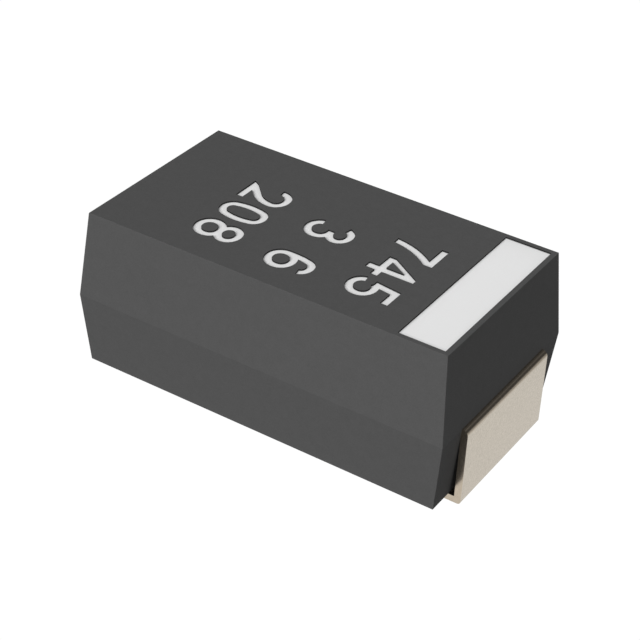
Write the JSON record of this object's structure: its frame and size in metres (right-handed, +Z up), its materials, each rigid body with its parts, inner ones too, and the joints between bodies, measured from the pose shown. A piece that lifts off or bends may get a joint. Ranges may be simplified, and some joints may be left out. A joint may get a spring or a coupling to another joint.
{
  "type": "aluminum polymer capacitor",
  "caption": "Moulded surface-mount aluminum polymer capacitor: drafted resin case, two folded solder leads and a polarity bar on top",
  "frame": {"origin": "centre of the footprint, on the circuit board that the two feet stand on", "axes": "+X along the length toward the anode end with the polarity bar, +Y across the width, +Z up off the board"},
  "size_m": [0.006, 0.0032, 0.0025],
  "materials": {
    "case_resin": "fine matte, moulded",
    "bar_ink": "matte print",
    "tinned_copper": "satin tin plate",
    "aluminium_foil": "etched, matte",
    "cathode_coat": "matte silver coat",
    "mask_resin": "matte",
    "silver_glue": "matte"
  },
  "bodies": {
    "root": {"moulded_case": "case_resin", "polarity_bar": "bar_ink", "anode_lead_frame": "tinned_copper", "cathode_lead_frame": "tinned_copper", "anode_foil_upper_1": "aluminium_foil", "cathode_coat_upper_1": "cathode_coat", "mask_band_upper_1": "mask_resin", "silver_glue_upper_1": "silver_glue", "anode_foil_upper_2": "aluminium_foil", "cathode_coat_upper_2": "cathode_coat", "mask_band_upper_2": "mask_resin", "silver_glue_upper_2": "silver_glue", "anode_foil_upper_3": "aluminium_foil", "cathode_coat_upper_3": "cathode_coat", "mask_band_upper_3": "mask_resin", "silver_glue_upper_3": "silver_glue", "anode_foil_upper_4": "aluminium_foil", "cathode_coat_upper_4": "cathode_coat", "mask_band_upper_4": "mask_resin", "silver_glue_upper_4": "silver_glue", "anode_foil_lower_1": "aluminium_foil", "cathode_coat_lower_1": "cathode_coat", "mask_band_lower_1": "mask_resin", "silver_glue_lower_1": "silver_glue", "anode_foil_lower_2": "aluminium_foil", "cathode_coat_lower_2": "cathode_coat", "mask_band_lower_2": "mask_resin", "silver_glue_lower_2": "silver_glue", "anode_foil_lower_3": "aluminium_foil", "cathode_coat_lower_3": "cathode_coat", "mask_band_lower_3": "mask_resin", "silver_glue_lower_3": "silver_glue"}
  },
  "joints": []
}
